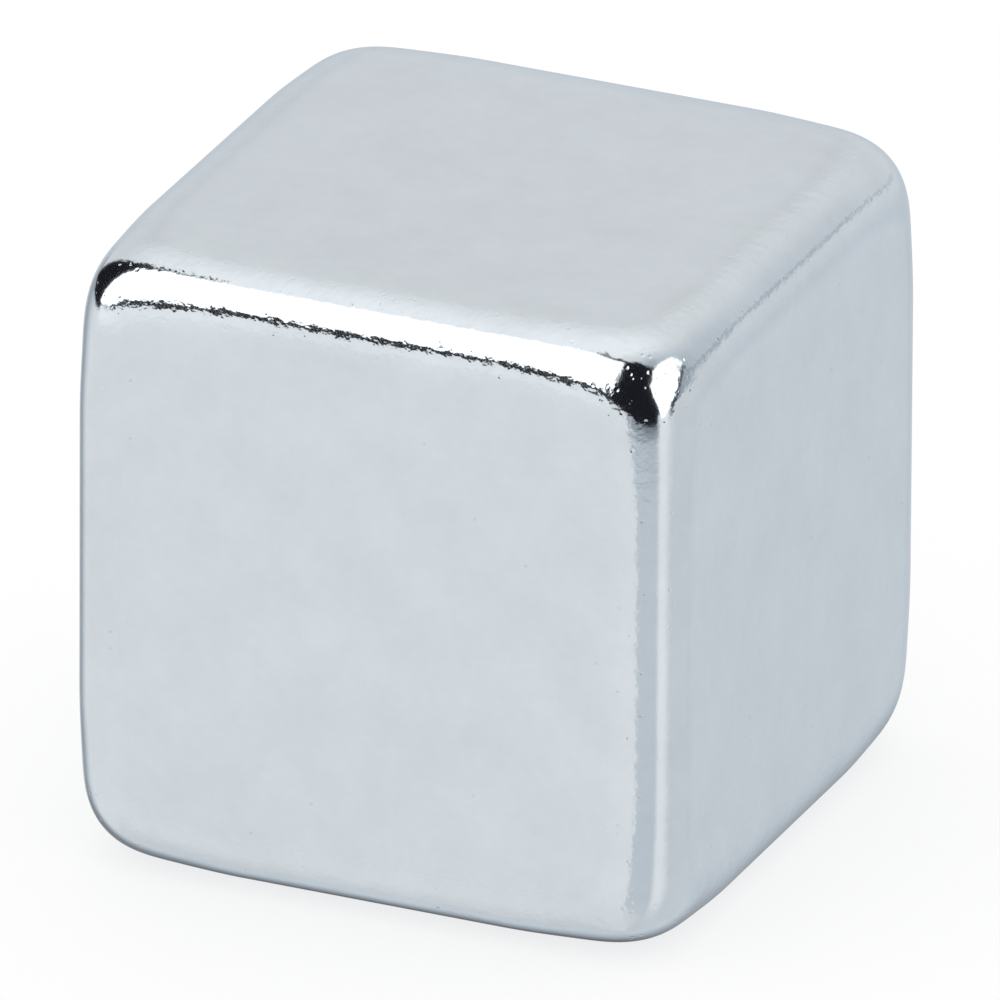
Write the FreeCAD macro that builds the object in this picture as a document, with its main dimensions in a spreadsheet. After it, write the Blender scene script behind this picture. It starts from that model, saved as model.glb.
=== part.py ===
"""Block magnet: one sintered, plated block with rolled edges and more strongly worn corners.

The block was tumbled before plating, so each edge is rounded by a small radius along its
middle. Towards a corner that rounding grows, and the three edges of the corner run out in a
ball-shaped patch.

The frame has +Z up. The origin is the centre of the face that the block rests on, X runs
along its length and Y along its width. All sizes are in millimetres.
"""
import FreeCAD, Part
import os
from FreeCAD import Vector

# Driving dimensions: value and meaning
SIZES = {
    "block_length": (10.0, "length along X"),
    "block_width": (10.0, "width along Y"),
    "block_height": (10.1, "height along Z"),
    "edge_radius": (0.8, "rounding along the middle of each edge"),
    "corner_radius": (1.35, "rounding that an edge would reach at the sharp corner"),
    "corner_reach": (2.6, "how far from the sharp corner the rounding starts to grow"),
}

# Formulas over the driving dimensions
LENGTH = "sizes.block_length"
WIDTH = "sizes.block_width"
HEIGHT = "sizes.block_height"
REACH = "sizes.corner_reach"
CORNER_SIDE = "(sizes.corner_reach + sizes.edge_radius)"

# How near two coordinates have to be to count as one
SAME_PLACE = 1e-6


def make_sheet(doc):
    """Writes the driving dimensions into a spreadsheet, one named cell each."""
    sheet = doc.addObject("Spreadsheet::Sheet", "sizes")
    for row, (name, (value, meaning)) in enumerate(SIZES.items(), start=1):
        sheet.set(f"A{row}", meaning)
        sheet.set(f"B{row}", str(value))
        sheet.setAlias(f"B{row}", name)
    doc.recompute()
    return sheet


def make_box(doc, name, sides, low_corner):
    """Makes a box from formulas for its three sides and for its lowest corner."""
    box = doc.addObject("Part::Box", name)
    for side, formula in zip(("Length", "Width", "Height"), sides):
        box.setExpression(side, formula)
    for axis, formula in zip("xyz", low_corner):
        box.setExpression(f"Placement.Base.{axis}", formula)
    return box


def roll_edges(doc, name, base, radius_at):
    """Rounds edges of a sharp shape, from the radius at one end of each to that at the other.

    radius_at takes a point and returns the radius there, or None off the block's own edges.
    """
    doc.recompute()
    rolled = doc.addObject("Part::Fillet", name)
    rolled.Base = base
    edges = []
    for number, edge in enumerate(base.Shape.Edges, start=1):
        if radius_at(edge.CenterOfMass) is not None:
            first, last = (radius_at(end.Point) for end in edge.Vertexes)
            edges.append((number, first, last))
    rolled.Edges = edges
    return rolled


def make_corner(doc, sheet):
    """Makes the worn corner at the right, back and top of a block centred on the origin.

    The shorter boxes add no material. They split each edge of the corner where its rounding
    starts to grow, so that it stays even up to there and grows smoothly from there.
    """
    low = [f"{side} / 2 - {CORNER_SIDE}" for side in (LENGTH, WIDTH, HEIGHT)]
    pieces = [make_box(doc, "corner_cube", [CORNER_SIDE] * 3, low)]
    for axis, along in enumerate(("length", "width", "height")):
        sides = [CORNER_SIDE] * 3
        sides[axis] = f"{CORNER_SIDE} - {REACH}"
        pieces.append(make_box(doc, f"even_part_along_{along}", sides, low))
    sharp = doc.addObject("Part::MultiFuse", "sharp_corner")
    sharp.Shapes = pieces
    sharp.Refine = False
    tip = (sheet.block_length / 2, sheet.block_width / 2, sheet.block_height / 2)

    def radius_at(point):
        sides = sum(abs(value - side) < SAME_PLACE for value, side in zip(point, tip))
        return {3: sheet.corner_radius, 2: sheet.edge_radius}.get(sides)

    return roll_edges(doc, "worn_corner", sharp, radius_at)


def add_mirror_image(doc, shape, name, normal):
    """Joins a shape and its mirror image about a plane through the origin."""
    mirrored = doc.addObject("Part::Mirroring", f"{name}_mirrored")
    mirrored.Source = shape
    mirrored.Normal = normal
    both = doc.addObject("Part::MultiFuse", name)
    both.Shapes = [shape, mirrored]
    return both


def make_corners(doc, sheet):
    """Makes all eight corners, each a mirror image of its neighbours."""
    corners = make_corner(doc, sheet)
    corners = add_mirror_image(doc, corners, "two_corners", Vector(1, 0, 0))
    corners = add_mirror_image(doc, corners, "four_corners", Vector(0, 1, 0))
    return add_mirror_image(doc, corners, "eight_corners", Vector(0, 0, 1))


def make_middle(doc, sheet, axis, along):
    """Makes the block's full section between the corners of one direction."""
    sides = [LENGTH, WIDTH, HEIGHT]
    sides[axis] = f"({sides[axis]} - 2 * {CORNER_SIDE})"
    sharp = make_box(doc, f"sharp_middle_of_{along}", sides, [f"-{side} / 2" for side in sides])
    half = (sheet.block_length / 2, sheet.block_width / 2, sheet.block_height / 2)

    def radius_at(point):
        across = [abs(abs(point[k]) - half[k]) < SAME_PLACE for k in range(3) if k != axis]
        return sheet.edge_radius if all(across) else None

    return roll_edges(doc, f"middle_of_{along}", sharp, radius_at)


def make_block_magnet(doc, sheet):
    """Joins the corners and the runs between them into one block, and stands it on z = 0."""
    pieces = [make_corners(doc, sheet)]
    for axis, along in enumerate(("length", "width", "height")):
        pieces.append(make_middle(doc, sheet, axis, along))
    magnet = doc.addObject("Part::MultiFuse", "block_magnet")
    magnet.Shapes = pieces
    magnet.Refine = True
    magnet.Label = "block_magnet"
    magnet.setExpression("Placement.Base.z", f"{HEIGHT} / 2")
    return magnet


def check(doc, parts):
    """Stops the build if an object failed or a part isn't one sound solid."""
    for item in doc.Objects:
        if "Invalid" in item.State or "Error" in item.State:
            raise RuntimeError(f"{item.Label} failed to build: {item.State}")
    for part in parts:
        shape = part.Shape
        if shape.isNull() or not shape.isValid() or len(shape.Solids) != 1:
            raise RuntimeError(f"{part.Label} isn't one sound solid")


def main():
    doc = FreeCAD.newDocument("block_magnet")
    sheet = make_sheet(doc)
    parts = [make_block_magnet(doc, sheet)]
    doc.recompute()
    check(doc, parts)
    os.makedirs("parts", exist_ok=True)
    for part in parts:
        part.Shape.exportStep(f"parts/{part.Label}.step")
        print(part.Label, "volume", round(part.Shape.Volume, 2), "mm3")


main()
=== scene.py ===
"""Block magnet: the worn, nickel-plated block and the small studio that it stands in.

The block is one surface. It is worked out as a box whose edges run over softly and whose
corners are worn further, which is how a sintered block looks after tumbling. Its plating
mirrors the studio: a pale floor and backdrop, a large soft light at the left that reaches
overhead, a smaller one at the right, and the unlit room that shows between them. The flat
faces scatter a part of the light as well.
"""
from math import cos, degrees, radians, sin

import bpy
import numpy as np
from bpy.props import FloatProperty, FloatVectorProperty, IntProperty, PointerProperty
from mathutils import Matrix, Vector


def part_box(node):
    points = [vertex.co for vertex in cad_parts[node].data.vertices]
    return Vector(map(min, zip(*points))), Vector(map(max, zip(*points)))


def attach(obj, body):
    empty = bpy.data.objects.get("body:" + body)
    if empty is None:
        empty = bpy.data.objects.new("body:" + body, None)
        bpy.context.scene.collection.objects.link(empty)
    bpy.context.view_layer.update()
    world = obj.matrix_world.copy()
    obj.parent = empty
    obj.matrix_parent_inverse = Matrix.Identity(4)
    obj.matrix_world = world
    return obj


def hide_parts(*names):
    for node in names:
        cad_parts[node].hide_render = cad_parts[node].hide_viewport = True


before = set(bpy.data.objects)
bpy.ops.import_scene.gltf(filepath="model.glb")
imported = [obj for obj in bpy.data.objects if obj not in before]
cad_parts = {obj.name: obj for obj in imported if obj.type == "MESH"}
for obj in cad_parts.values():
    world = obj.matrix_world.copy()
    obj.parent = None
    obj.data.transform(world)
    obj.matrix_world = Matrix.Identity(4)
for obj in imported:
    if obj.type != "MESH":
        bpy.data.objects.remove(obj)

bl_info = {
    "name": "Block magnet",
    "version": (1, 0, 0),
    "blender": (4, 5, 0),
    "location": "View3D > Sidebar > Magnet",
    "description": "Makes a worn, nickel-plated block magnet and its studio",
    "category": "Add Mesh",
}

NODE = "block_magnet"
LOW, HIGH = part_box(NODE)
MM = 0.001
MICROMETRE = 0.001 * MM
WHITE = (1.0, 1.0, 1.0, 1.0)
COOL_GREY = (0.935, 1.0, 1.065, 1.0)

# The block's grid: how evenly its lines are spaced, and how the worn surface is found
EVEN_SHARE = 0.28
DEEPEST_WEAR = 0.7
HALVINGS = 40

# Share of its grain that an edge keeps on its polished crest, and where it stands upright
CREST_GRAIN = 0.28
UPRIGHT_GRAIN = 0.8

# Share of the places for a dimple that have one, on the faces, the edges and the corners
FACE_PITS = 0.006
EDGE_PITS = 0.3
CORNER_PITS = 0.75

# Where the slope of a dimple starts and ends, in cells from its middle, and how much painted
# shade darkens its floor if it stands alone
PIT_RIM = 0.26
PIT_FLOOR = 0.02
LONE_PIT_SHADE = 0.25

# Noises in the plating: patches along a millimetre, detail and roughness
GRAIN_NOISE = (6.5, 2.0, 0.55)
RIPPLE_NOISE = (1.1, 2.0, 0.5)
CLOUD_NOISE = (0.8, 5.0, 0.62)
MOTTLE_NOISE = (5.0, 2.0, 0.5)

# How strongly the tones vary, and the palest and dullest as shares of the plating's colour
CLOUD_CONTRAST = 0.26
MOTTLE_CONTRAST = 0.08
PALE = 1.35
DULL = 0.65

# The floor is a sheet of paper just under the block, which glows a little for the camera
FLOOR_SIDE = 1.0
FLOOR_LINES = 9
FLOOR_DROP = 0.005 * MM
PAPER = 0.94
PAPER_GLOW = 1.03

# The overhead lamp, and what the camera is like
LAMP_WIDTH = 0.3
LAMP_WATTS = 0.08
LAMP_PLACE = (-0.03, 0.0, 0.4)
SENSOR_MM = 36
NEAREST = 0.01
FARTHEST = 3

# Turn and rise, in degrees, of what is mirrored at the outline, by the right face and by the
# top face, all seen from the camera. The surround gets painted shade about each of them, which
# darkens the block's rims and these two faces.
OUTLINE_SHADE_WAY = (-156.3, -24.3)
RIGHT_FACE_SHADE_WAY = (156.3, -24.3)
TOP_FACE_SHADE_WAY = (-156.3, 24.3)

# Tone of the mirrored floor straight behind the block, and how it changes with the turn
TONE_BEHIND = 0.87
FLOOR_STEPS = (
    (-143, -128, -0.36), (-124, -89, 0.49), (-30, 5, 0.04),
    (13, 21, -0.25), (57, 70, 0.29), (78, 103, -0.245),
)


class BlockSizes(bpy.types.PropertyGroup):
    """Sizes of the block and of its wear."""

    length: FloatProperty(
        name="Length", description="Side of the block along X",
        default=HIGH.x - LOW.x, min=MM, subtype="DISTANCE", unit="LENGTH", precision=5)
    width: FloatProperty(
        name="Width", description="Side of the block along Y",
        default=HIGH.y - LOW.y, min=MM, subtype="DISTANCE", unit="LENGTH", precision=5)
    height: FloatProperty(
        name="Height", description="Side of the block along Z",
        default=HIGH.z - LOW.z, min=MM, subtype="DISTANCE", unit="LENGTH", precision=5)
    edge_reach: FloatProperty(
        name="Edge reach", description="How far from an edge its rounding starts",
        default=1.48 * MM, min=0.1 * MM, subtype="DISTANCE", unit="LENGTH", precision=5)
    corner_reach: FloatProperty(
        name="Corner reach", description="How far from an edge its rounding starts at a corner",
        default=1.97 * MM, min=0.1 * MM, subtype="DISTANCE", unit="LENGTH", precision=5)
    corner_wear: FloatProperty(
        name="Corner wear", description="How far from a corner its own wear is felt",
        default=2.88 * MM, min=0.1 * MM, subtype="DISTANCE", unit="LENGTH", precision=5)
    softness: FloatProperty(
        name="Softness", description="2 rolls the edges as arcs, more lets them start softly",
        default=3.5, min=2.0, max=6.0)
    lines: IntProperty(
        name="Lines", description="Grid lines on each side", default=129, min=17, max=129)


class PlatingFinish(bpy.types.PropertyGroup):
    """Colour and texture of the nickel plating."""

    colour: FloatVectorProperty(
        name="Nickel", description="Colour that the plating gives to what it mirrors",
        subtype="COLOR", size=3, default=(0.629, 0.676, 0.711), min=0, max=1)
    roughness: FloatProperty(
        name="Roughness", description="How much the plating blurs what it mirrors",
        default=0.10, min=0, max=1, subtype="FACTOR")
    haze: FloatProperty(
        name="Haze", description="Share of the light that the flat faces scatter and don't mirror",
        default=0.35, min=0, max=1, subtype="FACTOR")
    grain: FloatProperty(
        name="Grain", description="Height of the fine grain in the rounded edges, in micrometres",
        default=9.0, min=0)
    pit_depth: FloatProperty(
        name="Pit depth", description="Depth of the small dimples, in micrometres",
        default=5.0, min=0)
    pits_per_mm: FloatProperty(
        name="Pits per mm", description="How many places for a dimple lie along a millimetre",
        default=6.0, min=0.1)
    ripple: FloatProperty(
        name="Ripple", description="Height of the faint ripple on the faces, in micrometres",
        default=0.25, min=0)


class StudioSettings(bpy.types.PropertyGroup):
    """Viewpoint, lights and tones of the studio."""

    azimuth: FloatProperty(
        name="Azimuth", description="Turn of the camera from the front towards the right",
        default=radians(23.666), subtype="ANGLE", unit="ROTATION")
    elevation: FloatProperty(
        name="Elevation", description="Height of the camera above the horizon",
        default=radians(24.281), subtype="ANGLE", unit="ROTATION")
    roll: FloatProperty(
        name="Roll", description="Turn of the camera about its own line of sight",
        default=radians(-0.313), subtype="ANGLE", unit="ROTATION")
    distance: FloatProperty(
        name="Distance", description="From the middle of the block to the camera",
        default=671.1 * MM, min=0.05, subtype="DISTANCE", unit="LENGTH")
    frame_width: FloatProperty(
        name="Frame width", description="Width that the picture shows at the block",
        default=15.114 * MM, min=MM, subtype="DISTANCE", unit="LENGTH", precision=5)
    aim_right: FloatProperty(
        name="Aim right", description="How far right of the block's middle the picture is centred",
        default=0.047 * MM, subtype="DISTANCE", unit="LENGTH", precision=6)
    aim_down: FloatProperty(
        name="Aim down", description="How far below the block's middle the picture is centred",
        default=0.115 * MM, subtype="DISTANCE", unit="LENGTH", precision=6)
    light: FloatProperty(
        name="Soft lights", description="Strength of the two soft lights in the mirror image",
        default=1.9, min=0)
    room: FloatVectorProperty(
        name="Room", description="Tone of the unlit room beyond the studio",
        subtype="COLOR", size=3, default=(0.016, 0.016, 0.021), min=0, max=1)
    shadow: FloatProperty(
        name="Shadow", description="How strongly the block's shadow shows on the floor",
        default=0.32, min=0, max=1, subtype="FACTOR")


class Signal:
    """An output socket that is used as a number: + - and * add their Math nodes."""

    def __init__(self, tree, socket=None):
        self.tree, self.socket = tree, socket

    def node(self, kind, settings=None, sockets=None, output=0):
        """Adds a node of this kind. Its settings come first, then its sockets' values or links."""
        made = self.tree.nodes.new(kind)
        for name, value in (settings or {}).items():
            setattr(made, name, value)
        for name, value in (sockets or {}).items():
            if isinstance(value, Signal):
                self.tree.links.new(value.socket, made.inputs[name])
            else:
                made.inputs[name].default_value = value
        return Signal(self.tree, made.outputs[output] if made.outputs else None)

    def math(self, operation, *values):
        """Adds a Math node that works on these values."""
        return self.node("ShaderNodeMath", {"operation": operation}, dict(enumerate(values)))

    def ramp(self, start, end, low=0.0, high=1.0):
        """Rises smoothly from low at start to high at end, and stays level beyond them."""
        return self.node(
            "ShaderNodeMapRange", {"interpolation_type": "SMOOTHSTEP"},
            {"Value": self, "From Min": start, "From Max": end, "To Min": low, "To Max": high})

    def steps(self, start, changes):
        """Begins at start and changes smoothly: each change is its two borders and its amount."""
        total = start
        for begin, end, amount in changes:
            total = total + self.ramp(begin, end, 0.0, amount)
        return total

    def __add__(self, other):
        return self.math("ADD", self, other)

    def __radd__(self, other):
        return self.math("ADD", other, self)

    def __sub__(self, other):
        return self.math("SUBTRACT", self, other)

    def __rsub__(self, other):
        return self.math("SUBTRACT", other, self)

    def __mul__(self, other):
        return self.math("MULTIPLY", self, other)


def mix_colours(signal, share, first, second):
    """Mixes two colours: the second counts for share, the first for the rest."""
    return signal.node(
        "ShaderNodeMix", {"data_type": "RGBA"}, {0: share, 6: first, 7: second}, output=2)


def worn_depth(points, half, sizes):
    """How far outside (above 0) or inside (below 0) the worn block points are.

    With a the distances of a point from the three nearest sides and s the local reach,
    u = (s - a) / s, or 0 where a is more than s, and the value is the sum of u ** softness,
    less 1. The reach grows from edge_reach to corner_reach as the distance d from the sharp
    corner goes from corner_wear to 0, in step with (1 - (d / corner_wear) ** 2) ** 2.
    """
    a = half - np.abs(points)
    d = np.linalg.norm(np.maximum(a, 0), axis=-1, keepdims=True)
    growth = (1 - np.minimum(d / sizes.corner_wear, 1) ** 2) ** 2
    s = sizes.edge_reach + (sizes.corner_reach - sizes.edge_reach) * growth
    u = np.maximum(0, s - a) / s
    return (u ** sizes.softness).sum(-1) - 1


def grid_faces(lines):
    """Four-cornered faces of a square grid, whose points are numbered line by line."""
    first = (np.arange(lines - 1)[:, None] * lines + np.arange(lines - 1)).ravel()
    return np.stack([first, first + lines, first + lines + 1, first + 1], -1)


def block_surface(sizes):
    """Points and four-cornered faces of the worn block, with its base on z = 0.

    Each side of the enclosing box carries a grid, whose lines lie closer towards the edges:
    at t from -1 to 1 and with an even share e, a line's place is e t + (1 - e) sin(t pi / 2)
    of the half side. Every grid point then slides along its line to the block's middle until
    the worn depth is 0, found by halving the interval. Points that sides share are merged by
    their grid numbers.
    """
    half = np.array([sizes.length, sizes.width, sizes.height]) / 2
    n = sizes.lines
    t = np.linspace(-1, 1, n)
    place = EVEN_SHARE * t + (1 - EVEN_SHARE) * np.sin(t * np.pi / 2)
    i, j = (grid.ravel() for grid in np.meshgrid(np.arange(n), np.arange(n), indexing="ij"))
    side = grid_faces(n)
    keys, quads = [], []
    for axis in range(3):
        for end in (0, n - 1):
            numbers = np.empty((n * n, 3), int)
            numbers[:, axis] = end
            numbers[:, (axis + 1) % 3], numbers[:, (axis + 2) % 3] = i, j
            quads.append((side if end else side[:, ::-1]) + len(keys) * n * n)
            keys.append(numbers)
    numbers, first, merged = np.unique(
        np.vstack(keys), axis=0, return_index=True, return_inverse=True)
    points = place[numbers] * half
    low, high = np.full(len(points), DEEPEST_WEAR), np.ones(len(points))
    for _ in range(HALVINGS):
        middle = (low + high) / 2
        outside = worn_depth(points * middle[:, None], half, sizes) > 0
        low, high = np.where(outside, low, middle), np.where(outside, middle, high)
    points = points * low[:, None] + [0, 0, half[2]]
    return points, merged.reshape(-1)[np.vstack(quads)]


def smooth_step(values, start, end):
    """0 up to start, 1 from end on, and 3 t t - 2 t t t between, t being the way there."""
    t = np.clip((values - start) / (end - start), 0, 1)
    return t * t * (3 - 2 * t)


def wear_marks(normals):
    """How much grain and haze and how large a share of pits the surface has, from where it faces.

    tilt is the angle in degrees to the nearest face's own direction. The grain is strong on
    the shoulders of the edges, at about 8 to 25 degrees, because tumbling has polished their
    crests, and stronger on level edges than on upright ones. The haze is on the flat faces
    alone, and most pits are on the corners.
    """
    facing = np.abs(normals)
    tilt = np.degrees(np.arccos(np.minimum(facing.max(1), 1)))
    rounded = smooth_step(tilt, 4, 11)
    shoulder = smooth_step(tilt, 38, 25)
    level_edge = UPRIGHT_GRAIN + (1 - UPRIGHT_GRAIN) * smooth_step(facing[:, 2], 0.05, 0.3)
    corner = smooth_step(facing.min(1), 0.08, 0.25)
    return {
        "grain": rounded * (CREST_GRAIN + (1 - CREST_GRAIN) * shoulder) * level_edge,
        "haze": smooth_step(tilt, 9, 2),
        "pitted": FACE_PITS + EDGE_PITS * rounded * shoulder * level_edge + CORNER_PITS * corner,
    }


def make_mesh(name, points, faces, smooth):
    """Makes an object at the origin from points and four-cornered faces."""
    mesh = bpy.data.meshes.new(name)
    mesh.from_pydata(points, [], faces)
    mesh.validate()
    mesh.polygons.foreach_set("use_smooth", np.full(len(mesh.polygons), smooth))
    mesh.update()
    made = bpy.data.objects.new(name, mesh)
    bpy.context.scene.collection.objects.link(made)
    return made


def nickel_plating(finish):
    """Bright nickel over a sintered block, a mirror on the edges and slightly hazy on the faces.

    The mesh attribute grain says how much of the fine grain shows at a point, haze how much
    of the haze, and pitted how large a share of the small dimples is there. The faces also
    have a faint ripple, cloudy tones and a rare pit with painted shade on its floor.
    """
    material = bpy.data.materials.new("nickel_plating")
    material.use_nodes = True
    tree = material.node_tree
    tree.nodes.clear()
    new = Signal(tree)
    place = new.node("ShaderNodeTexCoord", output="Object")
    grain, haze, pitted = (
        new.node("ShaderNodeAttribute", {"attribute_name": name}, output="Fac")
        for name in ("grain", "haze", "pitted"))

    def noise(per_mm, detail, roughness):
        """Soft random values about 0, with this many patches along a millimetre."""
        return new.node("ShaderNodeTexNoise", {}, {
            "Vector": place, "Scale": per_mm / MM, "Detail": detail, "Roughness": roughness,
        }) - 0.5

    cells = new.node("ShaderNodeTexVoronoi", {}, {
        "Vector": place, "Scale": finish.pits_per_mm / MM}, output="Color")
    chance = new.node("ShaderNodeSeparateColor", {}, {"Color": cells}, output="Red")
    reach = Signal(tree, cells.socket.node.outputs["Distance"])
    pit = reach.ramp(PIT_RIM, PIT_FLOOR) * chance.math("LESS_THAN", chance, pitted)
    rough = noise(*GRAIN_NOISE) * grain * finish.grain
    ripple = noise(*RIPPLE_NOISE) * finish.ripple
    relief = new.node("ShaderNodeBump", {}, {
        "Height": rough + ripple - pit * finish.pit_depth, "Distance": MICROMETRE,
        "Strength": 1.0})

    # Broad clouds and fine mottling about the middle tone, and painted shade on the floor of the
    # rare pits
    cloud = noise(*CLOUD_NOISE) * CLOUD_CONTRAST + noise(*MOTTLE_NOISE) * MOTTLE_CONTRAST + 0.5
    painted_pit_shade = pit * pitted.ramp(0.3, 0.1, 0.0, LONE_PIT_SHADE)
    pale = tuple(part * PALE for part in finish.colour)
    dull = tuple(part * DULL for part in finish.colour)
    colour = mix_colours(new, cloud - painted_pit_shade, (*dull, 1), (*pale, 1))
    shader = new.node("ShaderNodeBsdfPrincipled", {}, {
        "Base Color": colour, "Metallic": 1 - haze * finish.haze,
        "Roughness": finish.roughness, "Normal": relief})
    new.node("ShaderNodeOutputMaterial", {}, {"Surface": shader})
    return material


def floor_finish(studio):
    """White paper: white where it is open, with the block's shadow on it."""
    material = bpy.data.materials.new("floor_paper")
    material.use_nodes = True
    tree = material.node_tree
    tree.nodes.clear()
    new = Signal(tree)
    paper = new.node("ShaderNodeBsdfDiffuse", {}, {"Color": (PAPER, PAPER, PAPER, 1)})
    glow = new.node("ShaderNodeEmission", {}, {"Color": WHITE, "Strength": PAPER_GLOW})
    path = new.node("ShaderNodeLightPath", output="Is Camera Ray")
    both = new.node("ShaderNodeMixShader", {}, {
        0: path * (1 - studio.shadow), 1: paper, 2: glow})
    new.node("ShaderNodeOutputMaterial", {}, {"Surface": both})
    return material


def highest(first, *others):
    """The highest of several signals."""
    for other in others:
        first = first.math("MAXIMUM", first, other)
    return first


def shade_about(way, middle, core, reach, depth):
    """What a round shade leaves of a tone: it takes depth of it within core degrees of the
    middle, a pair of turn and rise, and nothing from reach degrees on."""
    turn, rise = (radians(angle) for angle in middle)
    towards = (sin(turn) * cos(rise), -cos(turn) * cos(rise), sin(rise))
    near = way.node(
        "ShaderNodeVectorMath", {"operation": "DOT_PRODUCT"}, {0: way, 1: towards}, output="Value")
    away = near.math("ARCCOSINE", near.math("MINIMUM", near, 1.0)) * degrees(1)
    return away.node("ShaderNodeMapRange", {}, {
        "Value": away, "From Min": core, "From Max": reach, "To Min": 1 - depth, "To Max": 1.0})


def floor_tone(turn, rise, way):
    """Tone of the mirrored floor. It changes with the turn, has a painted glow near the large
    light and painted dimness under the unlit room, and carries the block's own shadow painted in,
    which is deepest low behind it."""
    tone = turn.steps(TONE_BEHIND, FLOOR_STEPS)
    # Painted light near the large light, and painted dimness under the unlit room
    glow = rise.ramp(-18, -3) * turn.ramp(-90, -75) * turn.ramp(-60, -25, 0.22, 0.05)
    dusk = rise.ramp(-20, -9) * turn.ramp(9, 20) * (1 - turn.ramp(61, 72))
    tone = (tone + glow) * (1 - dusk * turn.ramp(10, 50, 0.35, 0.62))
    # Steep down the plating sees the floor close to the block, in painted shade that is lighter in
    # front of the block than beside and behind it
    steep = rise.ramp(-38, -70)
    near_block = turn.ramp(-60, -10, 0.84, 0.97) - turn.ramp(20, 60, 0.0, 0.12)
    tone = tone * (1 - steep) + near_block * steep
    # The block's own shadow, painted in, deepest low behind it
    deepest = shade_about(way, (-153, -46), 4, 37, 0.74)
    return tone * (1 - (1 - deepest) * rise.ramp(-24, -31))


def backdrop_tone(turn, rise):
    """Tone of the backdrop and ceiling, with painted light: bright under the large light, least
    lit behind the small one, with a faint seam low at the back."""
    dim = turn.ramp(0, 40) * turn.ramp(85, 168, 0.62, 0.0) * rise.ramp(58, 84, 1.0, 0.3)
    glow = turn.ramp(-72, -50) * turn.ramp(8, -4) * rise.ramp(26, 12) * 0.24
    height = rise - turn.ramp(120, 160, 12.0, 0.0)
    near = height.math("ABSOLUTE", height).ramp(3.0, 1.0)
    seam = near * turn.ramp(118, 126) * turn.ramp(175, 160)
    return (rise.ramp(20, 76, 0.9, 1.25) - dim + glow) * (1 - seam * 0.22)


def unlit_gaps(turn, rise, sill, top, foot):
    """Where the unlit room shows: between the lights, left of the large one, and as dark lines
    along its sill, along its top border and under the foot of the small light."""
    # Between the lights, from the floor's wavy rim up to a border that drops to the right
    room = (turn.ramp(-6, 0) * turn.ramp(98, 91) * (turn + rise * 0.9).ramp(141, 137)
            * (rise + turn.ramp(-4, 40, -7.0, 8.0) - turn.ramp(64, 67, 0.0, 8.0)).ramp(-1.5, 1.5)
            * (rise + turn * 0.12).ramp(83, 80.5))
    # Left of the large light, up to a border that leans with its side
    left = ((turn - rise * 0.33).ramp(-126, -123) * turn.ramp(-78, -83) * rise.ramp(65, 62)
            * rise.ramp(-7, -4))
    # Under the sill of the large light, from thin at the left to broad at the right
    line = ((rise - sill + turn.ramp(-72, -36, 1.6, 9.0)).ramp(-0.7, 0.7)
            * (rise - sill).ramp(0.7, -0.7) * turn.ramp(-96, -90) * turn.ramp(6, -2))
    # Just over the top border of the large light
    over = rise - top
    cap = over.ramp(0.3, 1.0) * over.ramp(5.0, 4.0) * turn.ramp(-77, -60) * turn.ramp(24, 18)
    # Under the foot of the small light
    heel = ((rise - foot + turn.ramp(92, 122, 8.0, 5.0)).ramp(-1, 1)
            * (rise - foot).ramp(1.7, 0.3) * turn.ramp(86, 96) * turn.ramp(131, 125))
    return highest(room, left, line, cap * 0.85, heel * 0.95)


def soft_lights(turn, rise, sill, top, foot):
    """The large light at the left, which reaches overhead, and the small one at the right."""
    # The large light's left side leans out above a rise of 34, and its right side all the way
    near = (turn + highest(rise - 34, 0.0) * 0.3).ramp(-86, -84)
    far = (turn - rise * 0.42 + 10).ramp(1, -1)
    large = (rise - sill).ramp(-0.7, 0.7) * near * far * (rise - top).ramp(0.7, -0.7)
    # The small light has a bowed top, a slanted lower left corner and a dim strip at its right
    bow = turn - 100
    strip = turn.ramp(120, 121.5) * turn.ramp(125, 123.5) * rise.ramp(33, 29)
    small = (turn.ramp(62, 64) * turn.ramp(131, 129) * (rise + bow * bow * 0.0138).ramp(53.5, 52)
             * (rise - foot - turn.ramp(74, 63, 0.0, 22.0)).ramp(-0.7, 0.7) * (1 - strip * 0.8))
    return highest(large, small)


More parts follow.
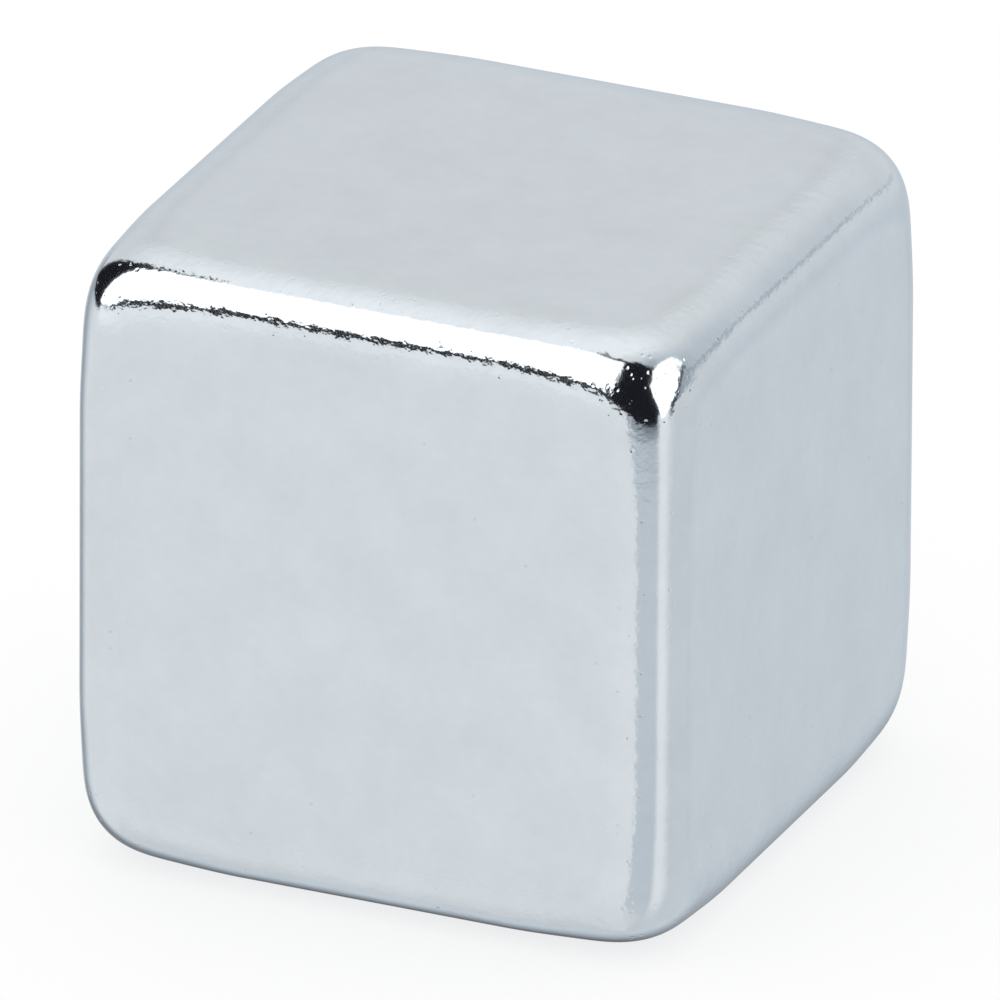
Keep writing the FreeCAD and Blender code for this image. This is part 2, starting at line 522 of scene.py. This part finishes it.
def studio_surround(studio):
    """What the plating mirrors, worked out from the direction alone.

    turn is the direction's turn from the front towards the right, and rise its height above
    the horizon, both in degrees. Each light or gap is a product of smooth steps across its
    borders, and is laid over the tones of the floor and backdrop. sill and top are the large
    light's lower and upper borders, and foot is the small light's lower one.
    """
    world = bpy.data.worlds.new("studio")
    bpy.context.scene.world = world
    world.use_nodes = True
    world.cycles.sampling_method = "NONE"
    tree = world.node_tree
    tree.nodes.clear()
    new = Signal(tree)
    way = new.node("ShaderNodeTexCoord", output="Generated")
    x, y, z = (new.node("ShaderNodeSeparateXYZ", {}, {0: way}, output=axis) for axis in "XYZ")
    turn = x.math("ARCTAN2", x, 0 - y) * degrees(1)
    rise = z.math("ARCSINE", z) * degrees(1)
    sill = turn.ramp(-78, -27, 1.0, 22.5) - turn.ramp(-14, 4, 0.0, 10.0)
    top = turn.ramp(-93, -66, 62.0, 75.0)
    foot = highest(turn - 88, 0.0) * 0.62 - turn.ramp(90, 74, 1.0, 4.0)

    # The floor gives way to the backdrop at the horizon
    up = rise.ramp(-2, 2)
    tone = floor_tone(turn, rise, way) * (1 - up) + backdrop_tone(turn, rise) * up
    # Painted shade where the camera sees the surround mirrored: at the block's outline, on the
    # right face and on the top face
    tone = tone * shade_about(way, OUTLINE_SHADE_WAY, 0, 45, 0.3)
    tone = tone * shade_about(way, RIGHT_FACE_SHADE_WAY, 4, 18, 0.075)
    hue = mix_colours(new, tone.ramp(0.7, 0.97), COOL_GREY, WHITE)
    tone = tone * shade_about(way, TOP_FACE_SHADE_WAY, 4, 18, 0.1)
    shown = new.node("ShaderNodeVectorMath", {"operation": "SCALE"}, {0: hue, "Scale": tone})
    shown = mix_colours(new, unlit_gaps(turn, rise, sill, top, foot), shown, (*studio.room, 1))
    light = (studio.light, studio.light, studio.light, 1)
    shown = mix_colours(new, soft_lights(turn, rise, sill, top, foot), shown, light)

    # Only mirrored rays meet the studio: the camera and the scattered light meet plain white
    path = new.node("ShaderNodeLightPath", output="Is Glossy Ray")
    shown = mix_colours(new, path, WHITE, shown)
    background = new.node("ShaderNodeBackground", {}, {"Color": shown, "Strength": 1.0})
    new.node("ShaderNodeOutputWorld", {}, {"Surface": background})


def make_floor(studio):
    """A flat square sheet just under the block, which the plating doesn't mirror."""
    side = np.linspace(-FLOOR_SIDE / 2, FLOOR_SIDE / 2, FLOOR_LINES)
    x, y = (grid.ravel() for grid in np.meshgrid(side, side, indexing="ij"))
    points = np.stack([x, y, np.full(len(x), -FLOOR_DROP)], -1)
    floor = make_mesh("floor", points, grid_faces(FLOOR_LINES), False)
    floor.data.materials.append(floor_finish(studio))
    floor.visible_glossy = False
    return floor


def hang_lamp():
    """A weak round lamp over the block, which the plating doesn't mirror."""
    lamp = bpy.data.lights.new("overhead_light", "AREA")
    lamp.shape = "DISK"
    lamp.size = LAMP_WIDTH
    lamp.energy = LAMP_WATTS
    overhead = bpy.data.objects.new("overhead_light", lamp)
    overhead.location = LAMP_PLACE
    overhead.visible_glossy = False
    bpy.context.scene.collection.objects.link(overhead)


def place_camera(studio):
    """The camera at its turn, height and roll, as far off and with the picture as wide as set."""
    a, e, roll = studio.azimuth, studio.elevation, studio.roll
    back = Vector((sin(a) * cos(e), -cos(a) * cos(e), sin(e)))
    level = Vector((cos(a), sin(a), 0))
    up = back.cross(level)
    right = level * cos(roll) - up * sin(roll)
    up = back.cross(right)
    middle = (LOW + HIGH) / 2 + right * studio.aim_right - up * studio.aim_down
    camera = bpy.data.objects.new("camera", bpy.data.cameras.new("camera"))
    camera.data.sensor_width = SENSOR_MM
    camera.data.lens = SENSOR_MM * studio.distance / studio.frame_width
    camera.data.clip_start = NEAREST
    camera.data.clip_end = FARTHEST
    place = Matrix((right, up, back)).transposed().to_4x4()
    place.translation = middle + back * studio.distance
    camera.matrix_world = place
    bpy.context.scene.collection.objects.link(camera)
    bpy.context.scene.camera = camera


class MAGNET_OT_block(bpy.types.Operator):
    """Make the worn, plated block"""

    bl_idname = "magnet.block"
    bl_label = "Block"

    def execute(self, context):
        sizes = context.scene.magnet_sizes
        points, faces = block_surface(sizes)
        block = make_mesh("plated_block", points, faces, True)
        normals = np.empty(len(points) * 3)
        block.data.vertex_normals.foreach_get("vector", normals)
        for name, values in wear_marks(normals.reshape(-1, 3)).items():
            marks = block.data.attributes.new(name, "FLOAT", "POINT")
            marks.data.foreach_set("value", values.astype(np.float32))
        block.data.materials.append(nickel_plating(context.scene.magnet_finish))
        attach(block, "root")
        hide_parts(NODE)
        return {"FINISHED"}


class MAGNET_OT_studio(bpy.types.Operator):
    """Make the floor, the lights, the surround and the camera"""

    bl_idname = "magnet.studio"
    bl_label = "Studio"

    def execute(self, context):
        studio = context.scene.magnet_studio
        floor = make_floor(studio)
        studio_surround(studio)
        hang_lamp()
        place_camera(studio)
        context.scene.view_settings.view_transform = "Standard"
        return {"FINISHED"}


class MAGNET_PT_sidebar(bpy.types.Panel):
    """Block magnet: its sizes, its plating and its studio"""

    bl_idname = "MAGNET_PT_sidebar"
    bl_label = "Block magnet"
    bl_space_type = "VIEW_3D"
    bl_region_type = "UI"
    bl_category = "Magnet"

    def draw(self, context):
        for group in ("magnet_sizes", "magnet_finish", "magnet_studio"):
            values = getattr(context.scene, group)
            box = self.layout.box()
            for name in values.bl_rna.properties.keys():
                if name not in ("rna_type", "name"):
                    box.prop(values, name)
        self.layout.operator(MAGNET_OT_block.bl_idname)
        self.layout.operator(MAGNET_OT_studio.bl_idname)


CLASSES = (
    BlockSizes, PlatingFinish, StudioSettings,
    MAGNET_OT_block, MAGNET_OT_studio, MAGNET_PT_sidebar,
)


def register():
    for item in CLASSES:
        bpy.utils.register_class(item)
    bpy.types.Scene.magnet_sizes = PointerProperty(type=BlockSizes)
    bpy.types.Scene.magnet_finish = PointerProperty(type=PlatingFinish)
    bpy.types.Scene.magnet_studio = PointerProperty(type=StudioSettings)


def unregister():
    for name in ("magnet_sizes", "magnet_finish", "magnet_studio"):
        delattr(bpy.types.Scene, name)
    for item in reversed(CLASSES):
        bpy.utils.unregister_class(item)


def main():
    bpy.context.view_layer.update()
    register()
    bpy.ops.magnet.studio()
    bpy.ops.magnet.block()


if __name__ == "__main__":
    main()
